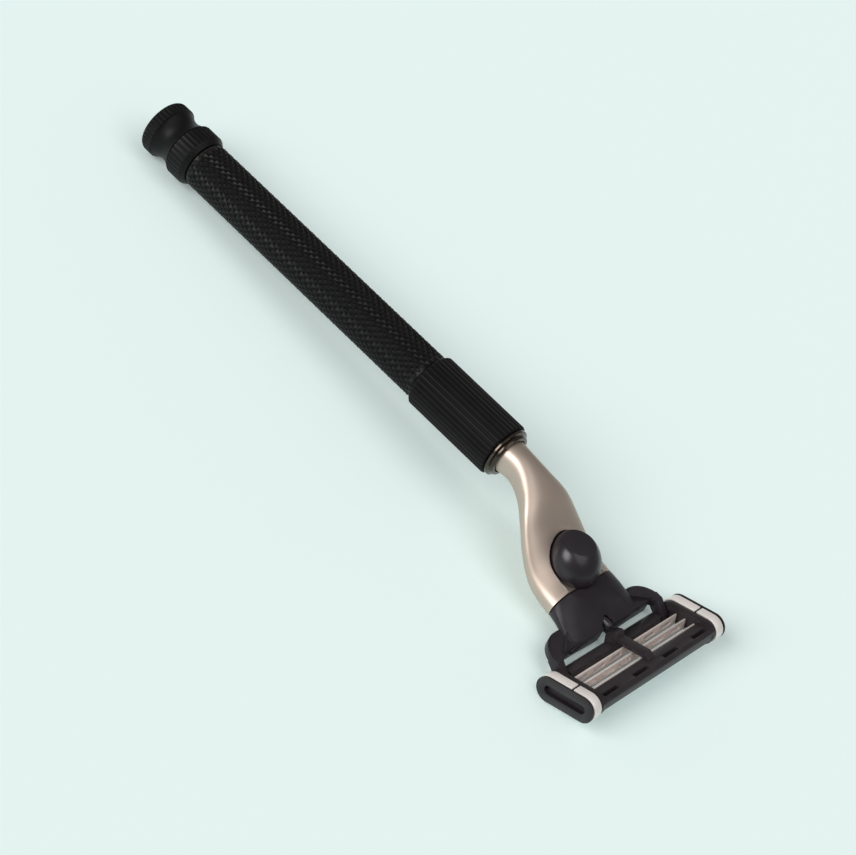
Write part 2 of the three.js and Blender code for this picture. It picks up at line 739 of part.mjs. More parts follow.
// A thin upright web from the trunk's flank out to the lobe's front edge.
function gusset(side, lobeX, lobeZ) {
  const [thickness, height] = GUSSET;
  const front = trunkFront - SLIP;
  const neckWidth = neckSections[neckSections.length - 1][2];
  const inner = [lobeX + thickness, neckWidth - GUSSET_SPREAD[0]];
  const outer = [front, YOKE_FRONT[1] + GUSSET_SPREAD[1]];
  const web = new THREE.ExtrudeGeometry(polygon([
    inner, outer, [front, outer[1] - thickness], [inner[0], inner[1] - thickness],
  ]), { depth: height, bevelEnabled: false });
  if (side < 0) web.scale(1, -1, 1);
  web.translate(0, 0, lobeZ);
  return solid(web);
}

function yoke() {
  const socket = block([yokeStart - 1, noseEnd + GAP], [-cavityHalf, cavityHalf],
    [cavityFloor, noseTop + GAP]);
  const plungerWay = rodX([noseEnd, pivotX], plungerR + GAP, plungerZ);
  const camHalf = CAM_WIDTH / 2 + GAP;
  const camRoom = block([pivotX - camSweep() - GAP, pivotX], [-camHalf, camHalf],
    [pivotZ - roundR, dockZ]);
  return cut(join([yokeTrunk(), yokeArm(1), yokeArm(-1)]),
    [socket, plungerWay, camRoom, buttonPocket()]);
}

place(handle, "yoke", yoke(), blackPlastic);

// ---------------------------------------------------------------- blade frame

function capBar() {
  const bar = acrossHead(polygon([
    [capInner, stripBed], [BAR_OUTER - BAR_CHAMFER, stripBed],
    [BAR_OUTER, stripBed + BAR_CHAMFER], [BAR_OUTER, CAP_BAR_BACK - BAR_CHAMFER],
    [BAR_OUTER - BAR_CHAMFER, CAP_BAR_BACK], [capInner, CAP_BAR_BACK],
  ]), [-openHalf - edge, openHalf + edge]);
  const [length, width, depth] = CAP_SLOT;
  const slots = [-1.5, -0.5, 0.5, 1.5].map((place) => block(
    [CAP_SLOT_AT - width / 2, CAP_SLOT_AT + width / 2],
    [place * CAP_SLOT_PITCH - length / 2, place * CAP_SLOT_PITCH + length / 2],
    [CAP_BAR_BACK - depth, CAP_BAR_BACK + 1]));
  return cut(bar, slots);
}

// The bar stops short of each arm, and a thinner bridge under the arm carries on to the flange.
function guardBar() {
  const bar = acrossHead(polygon([
    [-BAR_OUTER, stripBed + BAR_CHAMFER], [-BAR_OUTER + BAR_CHAMFER, stripBed],
    [guardInner, stripBed], [guardInner, GUARD_BAR_BACK],
    [-BAR_OUTER + BAR_CHAMFER, GUARD_BAR_BACK], [-BAR_OUTER, GUARD_BAR_BACK - BAR_CHAMFER],
  ]), [-armInner + ARM_GAP, armInner - ARM_GAP]);
  const under = PIVOT[1] - ARM_EYE_D / 2 - ARM_GAP;
  const bridges = [1, -1].map((side) => acrossHead(polygon([
    [-BAR_OUTER + 2 * BAR_CHAMFER, -roundR + 2 * edge], [guardInner, -roundR + 2 * edge],
    [guardInner, under], [-BAR_OUTER + BAR_CHAMFER, under],
  ]), span(side, openHalf - FIN_INSET + GAP, openHalf + edge)));
  const posts = [1, -1].map((side) => acrossHead(polygon([
    [-BAR_OUTER + 2 * BAR_CHAMFER, -roundR + 2 * edge], [guardInner, -roundR + 2 * edge],
    [guardInner, 0], [-BAR_OUTER + 2 * BAR_CHAMFER, 0],
  ]), span(side, openHalf - FIN_INSET + GAP, armInner - ARM_GAP)));
  return join([bar, ...bridges, ...posts]);
}

function centreRib() {
  const under = roundR - RIB_THICKNESS;
  const rib = acrossHead(polygon([
    [guardInner + edge, roundR - edge], [guardInner + edge, under], [capInner - edge, under],
    [capInner + edge, CAP_BAR_BACK - edge], [CAP_SLOT_AT - CAP_SLOT[1], CAP_BAR_BACK - edge],
    [CAP_SLOT_AT - CAP_SLOT[1], CAP_BAR_BACK + edge], [capInner, roundR],
    [guardInner + 2 * edge, roundR],
  ]), [-RIB_WIDTH / 2, RIB_WIDTH / 2]);
  const cam = acrossHead(polygon(camOutline()), [-CAM_WIDTH / 2, CAM_WIDTH / 2]);
  return rib.add(cam);
}

// One end of the frame: a flange with the pivot bearing, a core for the clip and the end plate.
function frameEnd(side) {
  const flange = acrossHead(stadium(HEAD_LENGTH - GAP, HEAD_THICKNESS - GAP),
    span(side, openHalf, flangeOuter));
  const under = 2 * (CLIP_THICKNESS + GAP);
  const core = acrossHead(stadium(HEAD_LENGTH - under, HEAD_THICKNESS - under),
    span(side, openHalf, headHalf - END_PLATE / 2));
  const plate = acrossHead(stadium(HEAD_LENGTH, HEAD_THICKNESS),
    span(side, headHalf - END_PLATE, headHalf));
  const [length, width, depth] = END_SLOT;
  const slot = acrossHead(stadium(length, width), span(side, headHalf - depth, headHalf + 1));
  const bearing = rodY(span(side, openHalf - 1, armOuter + TRUNNION_REACH + SLIP),
    TRUNNION_D / 2 + SLIP, PIVOT[0], PIVOT[1]);
  const firstEdge = bladeSection(0)[2][0];
  const lastSeat = bladeSection(BLADE_COUNT - 1)[0][0];
  const bladeRoom = block([firstEdge - GAP, lastSeat + GAP],
    span(side, openHalf - 1, clipOuter - BLADE_END_BACK + GAP),
    [-HEAD_THICKNESS, bladeSection(0)[0][1] + BLADE_FLOAT + GAP]);
  return cut(join([flange, core, plate]), [slot, bearing, bladeRoom]);
}

// A strip of metal wrapped round the frame, its two ends meeting on the back.
function clip(side) {
  const width = span(side, clipInner, clipOuter);
  const outer = acrossHead(stadium(HEAD_LENGTH, HEAD_THICKNESS), width);
  const inner = acrossHead(stadium(HEAD_LENGTH - 2 * CLIP_THICKNESS,
    HEAD_THICKNESS - 2 * CLIP_THICKNESS), [width[0] - 1, width[1] + 1]);
  const split = block([CLIP_SPLIT_AT - CLIP_SPLIT / 2, CLIP_SPLIT_AT + CLIP_SPLIT / 2],
    [width[0] - 1, width[1] + 1], [0, HEAD_THICKNESS]);
  return cut(outer, [inner, split]);
}

// ---------------------------------------------------------------- blades and strips

const lean = [Math.cos(BLADE_ANGLE), Math.sin(BLADE_ANGLE)];

// A blade's section, from its seat to its edge and back along its lower side.
function bladeSection(index) {
  const u = BLADE_FIRST + index * BLADE_PITCH;
  const seat = [u + BLADE_SEAT, supportFoot - BLADE_SEAT - BLADE_THICKNESS / 2];
  const along = (depth, lower) => [
    seat[0] - depth * lean[0] + lower * lean[1],
    seat[1] - depth * lean[1] - lower * lean[0],
  ];
  const bevelled = BLADE_DEPTH - BLADE_BEVEL;
  return [
    seat, along(bevelled, 0), along(BLADE_DEPTH, BLADE_THICKNESS / 2),
    along(bevelled, BLADE_THICKNESS), along(0, BLADE_THICKNESS),
  ];
}

// An L-shaped support: an upright leg with windows, and a platform leaning to the guard.
function bladeSupport(index) {
  const u = BLADE_FIRST + index * BLADE_PITCH;
  const t = SUPPORT_THICKNESS;
  const foot = supportFoot;
  const tip = [u - SUPPORT_PLATFORM * lean[0], foot - SUPPORT_PLATFORM * lean[1]];
  const half = openHalf - BLADE_END_GAP;
  const body = acrossHead(polygon([
    [u + t, foot], [u + t, foot + SUPPORT_HEIGHT], [u, foot + SUPPORT_HEIGHT],
    [u, foot + t], [tip[0] - t * lean[1], tip[1] + t * lean[0]], tip, [u, foot],
  ]), [-half, half]);
  const [length, height] = SUPPORT_WINDOW;
  const floor = foot + (SUPPORT_HEIGHT - height) / 2;
  const windows = [-2.5, -1.5, -0.5, 0.5, 1.5, 2.5].map((place) => block(
    [u - 1, u + t + 1],
    [place * SUPPORT_WINDOW_PITCH - length / 2, place * SUPPORT_WINDOW_PITCH + length / 2],
    [floor, floor + height]));
  return cut(body, windows);
}

function blade(index) {
  const half = clipOuter - BLADE_END_BACK;
  return acrossHead(polygon(bladeSection(index)), [-half, half]);
}

function guardFins() {
  const bed = stripBed - GAP;
  const start = -BAR_OUTER + 2 * BAR_CHAMFER;
  const root = -roundR + FIN_PITCH;
  const outline = [[start, bed], [start + FIN_COUNT * FIN_PITCH, bed]];
  for (let i = FIN_COUNT - 1; i >= 0; i--) {
    const u = start + i * FIN_PITCH;
    outline.push([u + FIN_PITCH * 0.9, root], [u + FIN_PITCH / 2, root - FIN_PITCH * 0.8]);
    outline.push([u + FIN_PITCH * 0.1, root]);
  }
  return acrossHead(polygon(outline), [-openHalf + FIN_INSET, openHalf - FIN_INSET]);
}

function lubricatingStrip() {
  const bed = stripBed - GAP;
  const face = bed - STRIP_THICKNESS;
  const outer = BAR_OUTER - 2 * BAR_CHAMFER;
  return acrossHead(polygon([
    [capInner + GAP, bed], [capInner + GAP, face + edge], [capInner + GAP + edge, face],
    [outer - edge, face], [outer, face + edge], [outer, bed],
  ]), [-openHalf + GAP, openHalf - GAP]);
}

place(head, "blade_frame",
  join([capBar(), guardBar(), centreRib(), frameEnd(1), frameEnd(-1)]), blackPlastic);
place(head, "clip_left", clip(-1), silverClip);
place(head, "clip_right", clip(1), silverClip);
for (let index = 0; index < BLADE_COUNT; index++) {
  place(head, `blade_support_${index + 1}`, bladeSupport(index), steel);
  place(head, `blade_${index + 1}`, blade(index), steel);
}
place(head, "guard_fins", guardFins(), rubber);
place(head, "lubricating_strip", lubricatingStrip(), lubricant);

// ---------------------------------------------------------------- the razor as it rests

head.position.set(headPlace[0], 0, headPlace[1]);
head.rotation.y = -HEAD_ANGLE;

// The table touches the rim of the knob and the round guard side of the head.
const [restX, restZ] = fromHead([roundR - HEAD_LENGTH / 2, 0]);
const run = restX - (knobEnd + KNOB_END_ROUND);
const drop = -restZ - KNOB_D / 2;
const restTilt = Math.asin(roundR / Math.hypot(run, drop)) + Math.atan2(drop, run);

const razor = new THREE.Group();
razor.add(handle, head);
razor.rotation.y = -restTilt;
razor.updateMatrixWorld(true);
const box = new THREE.Box3().setFromObject(razor, true);
razor.position.set(-(box.min.x + box.max.x) / 2, -(box.min.y + box.max.y) / 2, -box.min.z);

const model = new THREE.Group();
model.add(razor);
export default model;
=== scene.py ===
import math
import json
import bpy
from mathutils import Matrix, Vector


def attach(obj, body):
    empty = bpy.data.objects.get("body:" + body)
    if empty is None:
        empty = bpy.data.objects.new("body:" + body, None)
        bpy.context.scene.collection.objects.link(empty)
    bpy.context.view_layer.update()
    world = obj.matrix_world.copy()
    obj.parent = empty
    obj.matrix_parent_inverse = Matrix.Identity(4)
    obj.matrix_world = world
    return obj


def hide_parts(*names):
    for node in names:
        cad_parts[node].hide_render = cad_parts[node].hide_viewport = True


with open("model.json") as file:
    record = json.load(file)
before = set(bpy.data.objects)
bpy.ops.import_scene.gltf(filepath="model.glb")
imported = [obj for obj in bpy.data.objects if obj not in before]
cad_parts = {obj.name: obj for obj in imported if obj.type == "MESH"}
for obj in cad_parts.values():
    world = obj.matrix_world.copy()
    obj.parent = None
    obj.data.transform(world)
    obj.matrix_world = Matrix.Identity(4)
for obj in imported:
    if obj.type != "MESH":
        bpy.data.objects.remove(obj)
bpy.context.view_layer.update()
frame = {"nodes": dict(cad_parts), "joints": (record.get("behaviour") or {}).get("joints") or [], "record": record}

# ---- The view, the table and the light
# The razor lies on a plain mint table under a wide soft light, seen from above its near side, with
# the head at the lower right. The camera is far off, so the perspective is slight.
VIEW_PLACE = Vector((0.143152, -0.3448, 0.331506))
VIEW_RIGHT = Vector((0.643607, 0.643386, 0.414518))
VIEW_BACK = Vector((0.271439, -0.69829, 0.662353))
view_up = VIEW_BACK.cross(VIEW_RIGHT)
camera_data = bpy.data.cameras.new("camera")
camera_data.sensor_width = 36
camera_data.lens = 109.3
camera = bpy.data.objects.new("camera", camera_data)
bpy.context.scene.collection.objects.link(camera)
turn = Matrix((VIEW_RIGHT, view_up, VIEW_BACK)).transposed()
camera.matrix_world = Matrix.Translation(VIEW_PLACE) @ turn.to_4x4()
bpy.context.scene.camera = camera

TABLE_SIZE = 6.0
TABLE_COLOUR = (0.785, 0.922, 0.907, 1)
TABLE_GLOW = 0.145  # a faint glow of its own keeps the shadows pale
bpy.ops.mesh.primitive_plane_add(size=TABLE_SIZE)
table = bpy.context.object
table.name = "table"
table_paint = bpy.data.materials.new("table_paint")
table_paint.use_nodes = True
table_shader = table_paint.node_tree.nodes["Principled BSDF"]
table_shader.inputs["Base Color"].default_value = TABLE_COLOUR
table_shader.inputs["Roughness"].default_value = 1.0
table_shader.inputs["Specular IOR Level"].default_value = 0.0
table_shader.inputs["Emission Color"].default_value = TABLE_COLOUR
table_shader.inputs["Emission Strength"].default_value = TABLE_GLOW
table.data.materials.append(table_paint)

SKY_COLOUR = (1.0, 0.985, 0.965, 1)
SKY_STRENGTH = 0.26
world = bpy.data.worlds.new("studio")
world.use_nodes = True
world.node_tree.nodes["Background"].inputs["Color"].default_value = SKY_COLOUR
world.node_tree.nodes["Background"].inputs["Strength"].default_value = SKY_STRENGTH
bpy.context.scene.world = world
bpy.context.scene.view_settings.view_transform = "Standard"


def wide_light(name, side, rise, spread, power, colour):
    """A far, wide source; side and rise are its place right of and above the view, per step back."""
    lamp = bpy.data.lights.new(name, "SUN")
    lamp.angle = math.radians(spread)
    lamp.energy = power
    lamp.color = colour
    light = bpy.data.objects.new(name, lamp)
    way = VIEW_BACK + rise * view_up + side * VIEW_RIGHT
    light.rotation_euler = (-way).to_track_quat("-Z", "Y").to_euler()
    bpy.context.scene.collection.objects.link(light)


# Two soft sources, one on each side of the view, give a soft shadow on both sides of the razor.
wide_light("key_light", -0.5, 0.3, 34, 2.05, (1.0, 0.985, 0.965))
wide_light("fill_light", 0.75, 0.35, 50, 0.75, (1.0, 0.99, 0.985))

# ---- Shared effects of the surfaces
# Every finish has a fine grain and is a little rubbed on its edges; both effects are node groups
# that each material uses at its own scale.
CLOUD_DETAIL = 6.0
FINE_DETAIL = 2.0
GRAIN_HEIGHT = 2e-5


def effect_group(name, inputs, outputs):
    """A node group with named inputs and outputs, each given as (name, socket type, value)."""
    group = bpy.data.node_groups.new(name, "ShaderNodeTree")
    for label, kind, value in inputs:
        socket = group.interface.new_socket(name=label, in_out="INPUT", socket_type=kind)
        socket.default_value = value
    for label, kind in outputs:
        group.interface.new_socket(name=label, in_out="OUTPUT", socket_type=kind)
    nodes = group.nodes
    return group, nodes.new("NodeGroupInput"), nodes.new("NodeGroupOutput")


def scaled(nodes, links, value, low, high):
    """A Map Range node that takes a 0-1 value to a range."""
    ranged = nodes.new("ShaderNodeMapRange")
    for socket, amount in (("To Min", low), ("To Max", high)):
        if isinstance(amount, (int, float)):
            ranged.inputs[socket].default_value = amount
        else:
            links.new(amount, ranged.inputs[socket])
    links.new(value, ranged.inputs["Value"])
    return ranged.outputs["Result"]


grain_group, grain_in, grain_out = effect_group(
    "surface_grain",
    [("Vector", "NodeSocketVector", (0, 0, 0)), ("Fine Scale", "NodeSocketFloat", 6000.0),
     ("Cloud Scale", "NodeSocketFloat", 120.0), ("Roughness", "NodeSocketFloat", 0.4),
     ("Spread", "NodeSocketFloat", 0.08)],
    [("Height", "NodeSocketFloat"), ("Cloud", "NodeSocketFloat"),
     ("Roughness", "NodeSocketFloat")])
grain_nodes, grain_links = grain_group.nodes, grain_group.links
fine = grain_nodes.new("ShaderNodeTexNoise")
fine.inputs["Detail"].default_value = FINE_DETAIL
cloud = grain_nodes.new("ShaderNodeTexNoise")
cloud.inputs["Detail"].default_value = CLOUD_DETAIL
for noise, scale in ((fine, "Fine Scale"), (cloud, "Cloud Scale")):
    grain_links.new(grain_in.outputs["Vector"], noise.inputs["Vector"])
    grain_links.new(grain_in.outputs[scale], noise.inputs["Scale"])
rough_low = grain_nodes.new("ShaderNodeMath")
rough_low.operation = "SUBTRACT"
rough_high = grain_nodes.new("ShaderNodeMath")
rough_high.operation = "ADD"
for limit in (rough_low, rough_high):
    grain_links.new(grain_in.outputs["Roughness"], limit.inputs[0])
    grain_links.new(grain_in.outputs["Spread"], limit.inputs[1])
grain_links.new(fine.outputs["Fac"], grain_out.inputs["Height"])
grain_links.new(cloud.outputs["Fac"], grain_out.inputs["Cloud"])
grain_links.new(
    scaled(grain_nodes, grain_links, cloud.outputs["Fac"], rough_low.outputs[0],
           rough_high.outputs[0]),
    grain_out.inputs["Roughness"])

wear_group, wear_in, wear_out = effect_group(
    "edge_rub",
    [("Base", "NodeSocketColor", (0, 0, 0, 1)), ("Rubbed", "NodeSocketColor", (1, 1, 1, 1)),
     ("Cloud", "NodeSocketFloat", 0.5), ("Amount", "NodeSocketFloat", 0.5)],
    [("Color", "NodeSocketColor")])
wear_nodes, wear_links = wear_group.nodes, wear_group.links
edges = wear_nodes.new("ShaderNodeNewGeometry")
EDGE_RANGE = (0.52, 0.62)
edge_mask = wear_nodes.new("ShaderNodeMapRange")
edge_mask.inputs["From Min"].default_value = EDGE_RANGE[0]
edge_mask.inputs["From Max"].default_value = EDGE_RANGE[1]
wear_links.new(edges.outputs["Pointiness"], edge_mask.inputs["Value"])
patchy = wear_nodes.new("ShaderNodeMath")
patchy.operation = "MULTIPLY"
wear_links.new(edge_mask.outputs["Result"], patchy.inputs[0])
wear_links.new(wear_in.outputs["Cloud"], patchy.inputs[1])
amount = wear_nodes.new("ShaderNodeMath")
amount.operation = "MULTIPLY"
wear_links.new(patchy.outputs[0], amount.inputs[0])
wear_links.new(wear_in.outputs["Amount"], amount.inputs[1])
wear_mix = wear_nodes.new("ShaderNodeMix")
wear_mix.data_type = "RGBA"
wear_links.new(amount.outputs[0], wear_mix.inputs["Factor"])
wear_links.new(wear_in.outputs["Base"], wear_mix.inputs["A"])
wear_links.new(wear_in.outputs["Rubbed"], wear_mix.inputs["B"])
wear_links.new(wear_mix.outputs["Result"], wear_out.inputs["Color"])


def finish(name, light, dark, rubbed, roughness, spread=0.06, metallic=0.0, fine_scale=6000.0,
           cloud_scale=150.0, bump=0.1, rub=0.4, stretch=(1, 1, 1), tilt=0.0, specular=0.5):
    """A surface finish: two close shades in soft clouds, a fine grain and rubbed edges."""
    made = bpy.data.materials.new(name)
    made.use_nodes = True
    nodes, links = made.node_tree.nodes, made.node_tree.links
    shader = nodes["Principled BSDF"]
    place = nodes.new("ShaderNodeTexCoord")
    lay = nodes.new("ShaderNodeMapping")
    lay.inputs["Rotation"].default_value = (0, tilt, 0)
    lay.inputs["Scale"].default_value = stretch
    links.new(place.outputs["Object"], lay.inputs["Vector"])
    grain = nodes.new("ShaderNodeGroup")
    grain.node_tree = grain_group
    grain.inputs["Fine Scale"].default_value = fine_scale
    grain.inputs["Cloud Scale"].default_value = cloud_scale
    grain.inputs["Roughness"].default_value = roughness
    grain.inputs["Spread"].default_value = spread
    links.new(lay.outputs["Vector"], grain.inputs["Vector"])
    shades = nodes.new("ShaderNodeMix")
    shades.data_type = "RGBA"
    shades.inputs["A"].default_value = (*dark, 1)
    shades.inputs["B"].default_value = (*light, 1)
    links.new(grain.outputs["Cloud"], shades.inputs["Factor"])
    wear = nodes.new("ShaderNodeGroup")
    wear.node_tree = wear_group
    wear.inputs["Rubbed"].default_value = (*rubbed, 1)
    wear.inputs["Amount"].default_value = rub
    links.new(shades.outputs["Result"], wear.inputs["Base"])
    links.new(grain.outputs["Cloud"], wear.inputs["Cloud"])
    links.new(wear.outputs["Color"], shader.inputs["Base Color"])
    links.new(grain.outputs["Roughness"], shader.inputs["Roughness"])
    relief = nodes.new("ShaderNodeBump")
    relief.inputs["Strength"].default_value = bump
    relief.inputs["Distance"].default_value = GRAIN_HEIGHT
    links.new(grain.outputs["Height"], relief.inputs["Height"])
    links.new(relief.outputs["Normal"], shader.inputs["Normal"])
    shader.inputs["Metallic"].default_value = metallic
    shader.inputs["Specular IOR Level"].default_value = specular
    return made


# ---- End knob
# A turned steel knob, blackened, that screws onto the tie rod and clamps the grip together. Its
# rim has fine straight serrations and its waist is a plain hollow.
record = frame["record"]
slide_axis = next(j["axis"] for j in frame["joints"] if j["name"] == "release_slide")
GRIP_TILT = math.atan2(slide_axis[2], slide_axis[0])
knob_mount = next(m for m in record["mounts"] if m["name"] == "knob_end")
MM = 0.001
KNOB_REACH = 12.7  # end collar's front to the knob's end, along the grip
# The handle's own frame is in millimetres: X along the grip to the head, Z to the button side.
handle_frame = (Matrix.Translation(knob_mount["pos_m"]) @ Matrix.Rotation(-GRIP_TILT, 4, "Y")
                @ Matrix.Scale(MM, 4) @ Matrix.Translation((KNOB_REACH, 0, 0)))


def start_clean():
    """Object mode with nothing selected."""
    if bpy.context.object and bpy.context.object.mode != "OBJECT":
        bpy.ops.object.mode_set(mode="OBJECT")
    bpy.ops.object.select_all(action="DESELECT")


def named(name):
    """Names the piece that was just added and opens it in edit mode."""
    piece = bpy.context.object
    piece.name = name
    piece.data.name = name
    bpy.ops.object.mode_set(mode="EDIT")
    return piece


def pick(piece, wanted, kind="VERT"):
    """In edit mode, selects the vertices or faces whose place (and normal) is wanted."""
    bpy.ops.mesh.select_mode(type=kind)
    bpy.ops.mesh.select_all(action="DESELECT")
    bpy.ops.object.mode_set(mode="OBJECT")
    for vertex in piece.data.vertices:
        vertex.select = kind == "VERT" and wanted(vertex.co)
    for face in piece.data.polygons:
        face.select = kind == "FACE" and wanted(face.center, face.normal)
    bpy.ops.object.mode_set(mode="EDIT")
    if kind == "VERT":
        bpy.ops.mesh.select_mode(type="VERT")


def merged_outwards():
    """Joins doubled points and turns all faces outwards, in edit mode."""
    bpy.ops.mesh.select_mode(type="VERT")
    bpy.ops.mesh.select_all(action="SELECT")
    bpy.ops.mesh.remove_doubles(threshold=0.001)
    bpy.ops.mesh.normals_make_consistent(inside=False)


def turned(name, profile, steps):
    """A piece turned round the grip's axis from a profile of (along, radius)."""
    start_clean()
    bpy.ops.mesh.primitive_plane_add(size=0.1)
    piece = named(name)
    bpy.ops.mesh.select_all(action="SELECT")
    bpy.ops.mesh.merge(type="CENTER")
    bpy.ops.transform.translate(value=(profile[0][0], 0, profile[0][1]))
    for (x0, r0), (x1, r1) in zip(profile, profile[1:]):
        bpy.ops.mesh.extrude_vertices_move(TRANSFORM_OT_translate={"value": (x1 - x0, 0, r1 - r0)})
    bpy.ops.mesh.select_all(action="SELECT")
    bpy.ops.mesh.spin(steps=steps, angle=math.tau, center=(0, 0, 0), axis=(1, 0, 0))
    merged_outwards()
    return piece


def serrate(piece, along, radius, teeth, depth):
    """Sinks every other line of points between two places along the axis, as a serrating wheel does."""
    step = math.pi / teeth

    def hollow(p):
        around = round(math.atan2(p.y, p.z) / step)
        return along[0] < p.x < along[1] and math.hypot(p.y, p.z) > radius and around % 2 == 1

    pick(piece, hollow)
    sink = 1 - depth / radius
    bpy.ops.transform.resize(value=(1, sink, sink), center_override=(0, 0, 0))


def settle(piece, place, material, body, nodes, smooth):
    """Puts a finished piece where it belongs, with its place in its mesh, and fixes it to a body."""
    start_clean()
    piece.select_set(True)
    bpy.context.view_layer.objects.active = piece
    piece.matrix_world = place
    bpy.ops.object.transform_apply(location=True, rotation=True, scale=True)
    bpy.ops.object.shade_smooth_by_angle(angle=math.radians(smooth))
    piece.data.materials.clear()
    piece.data.materials.append(material)
    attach(piece, body)
    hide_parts(*nodes)


BLACKENED = (0.0062, 0.006, 0.0062)
BLACKENED_DARK = (0.0036, 0.0035, 0.0036)
BLACK_RUBBED = (0.05, 0.048, 0.047)
black_metal = finish("black_metal", BLACKENED, BLACKENED_DARK, BLACK_RUBBED, 0.45, spread=0.08,
                     metallic=0.3, specular=0.22, fine_scale=5000, cloud_scale=260, bump=0.25,
                     tilt=GRIP_TILT)

KNOB_R = 5.85
KNOB_BACK = -9.9  # front of the rim, where the waist starts
WAIST_R = 4.8
WAIST_END = -5.3
REGISTER = 3.2
KNOB_TEETH = 40
KNOB_TOOTH = 0.22
RIM_ROUND = 0.8
knob_profile = [(-KNOB_REACH, 0), (-KNOB_REACH, KNOB_R - 1.6), (-KNOB_REACH + 0.05, KNOB_R - RIM_ROUND)]
for i in range(1, 5):
    corner = math.radians(90 * i / 4)
    knob_profile.append((-KNOB_REACH + 0.7 - 0.65 * math.cos(corner),
                         KNOB_R - RIM_ROUND + RIM_ROUND * math.sin(corner)))
knob_profile += [(KNOB_BACK - 0.25, KNOB_R), (KNOB_BACK - 0.08, KNOB_R - 0.06),
                 (KNOB_BACK, KNOB_R - 0.22)]
for i in range(11):
    dip = (KNOB_R - 0.4 - WAIST_R) * math.sin(math.pi * i / 10)
    knob_profile.append((KNOB_BACK + 0.2 + (WAIST_END - KNOB_BACK - 0.2) * i / 10,
                         KNOB_R - 0.4 - dip))
knob_profile += [(WAIST_END, REGISTER), (WAIST_END + 2.5, REGISTER), (WAIST_END + 2.5, 0)]
knob = turned("end_knob_turned", knob_profile, 2 * KNOB_TEETH)
serrate(knob, (-KNOB_REACH + 0.3, KNOB_BACK - 0.1), KNOB_R - 0.3, KNOB_TEETH, KNOB_TOOTH)
settle(knob, handle_frame, black_metal, "handle", ["end_knob"], smooth=25)

# ---- End collar
# A serrated ring of the same blackened steel between the knob and the knurled grip, with a taper
# down to the grip.
COLLAR_BACK = -5.0
COLLAR_TAPER = -1.3
COLLAR_BORE = 3.5
COLLAR_TOOTH = 0.2
GRIP_R = 5.025
collar = turned("end_collar_turned", [
    (COLLAR_BACK, COLLAR_BORE), (COLLAR_BACK, KNOB_R - 0.25), (COLLAR_BACK + 0.08, KNOB_R - 0.08),
    (COLLAR_BACK + 0.3, KNOB_R), (COLLAR_TAPER - 0.15, KNOB_R), (COLLAR_TAPER, KNOB_R - 0.08),
    (-0.45, GRIP_R + 0.12), (-0.3, GRIP_R), (-0.3, COLLAR_BORE), (COLLAR_BACK, COLLAR_BORE),
], 2 * KNOB_TEETH)
serrate(collar, (COLLAR_BACK + 0.1, COLLAR_TAPER - 0.05), KNOB_R - 0.15, KNOB_TEETH, COLLAR_TOOTH)
settle(collar, handle_frame, black_metal, "handle", ["end_collar"], smooth=25)

# ---- Knurled grip
# A blackened tube with a diamond knurl rolled along its whole length. Each diamond is a small
# pyramid with its crest worn to a tiny flat.
KNURL_ROW = 0.86  # half a diamond along the grip
KNURL_ROUND = 25  # diamonds round the grip
KNURL_DEPTH = 0.26
CREST_FLAT = 0.12
GRIP_LENGTH = 64.6
SLEEVE_SEAT = 4.6
TUBE_END = 83.9
TUBE_BORE = 3.6
knurl_rows = round(GRIP_LENGTH / KNURL_ROW)
row_length = GRIP_LENGTH / knurl_rows
valley_r = GRIP_R - KNURL_DEPTH
grip_profile = [(0, TUBE_BORE), (0, valley_r)]
grip_profile += [(row_length * i, GRIP_R) for i in range(1, knurl_rows)]
grip_profile += [(GRIP_LENGTH, valley_r), (GRIP_LENGTH, SLEEVE_SEAT), (TUBE_END, SLEEVE_SEAT),
                 (TUBE_END, TUBE_BORE), (0, TUBE_BORE)]
grip = turned("grip_tube_knurled", grip_profile, 2 * KNURL_ROUND)
knurl_step = math.pi / KNURL_ROUND


def lattice(p):
    """The knurl's row and column numbers at a point, added up."""
    return round(p.x / row_length) + round(math.atan2(p.y, p.z) / knurl_step)


def on_knurl(p):
    return math.hypot(p.y, p.z) > GRIP_R - 0.01


pick(grip, lambda p: on_knurl(p) and lattice(p) % 2 == 0)
groove = valley_r / GRIP_R
bpy.ops.transform.resize(value=(1, groove, groove), center_override=(0, 0, 0))
pick(grip, lambda c, n: 0 < c.x < GRIP_LENGTH and math.hypot(c.y, c.z) > valley_r - 0.1, "FACE")
bpy.ops.mesh.quads_convert_to_tris(quad_method="SHORTEST_DIAGONAL")
pick(grip, on_knurl)
bpy.ops.mesh.bevel(offset=CREST_FLAT, affect="VERTICES", segments=1)
knurled_metal = finish("knurled_black_metal", (0.0065, 0.006, 0.0062), (0.004, 0.0037, 0.0038),
                       (0.08, 0.075, 0.073), 0.3, spread=0.1, metallic=0.2, specular=0.16,
                       fine_scale=4000, cloud_scale=500, bump=0.25, rub=0.7, tilt=GRIP_TILT)
settle(grip, handle_frame, knurled_metal, "handle", ["grip_tube"], smooth=12)

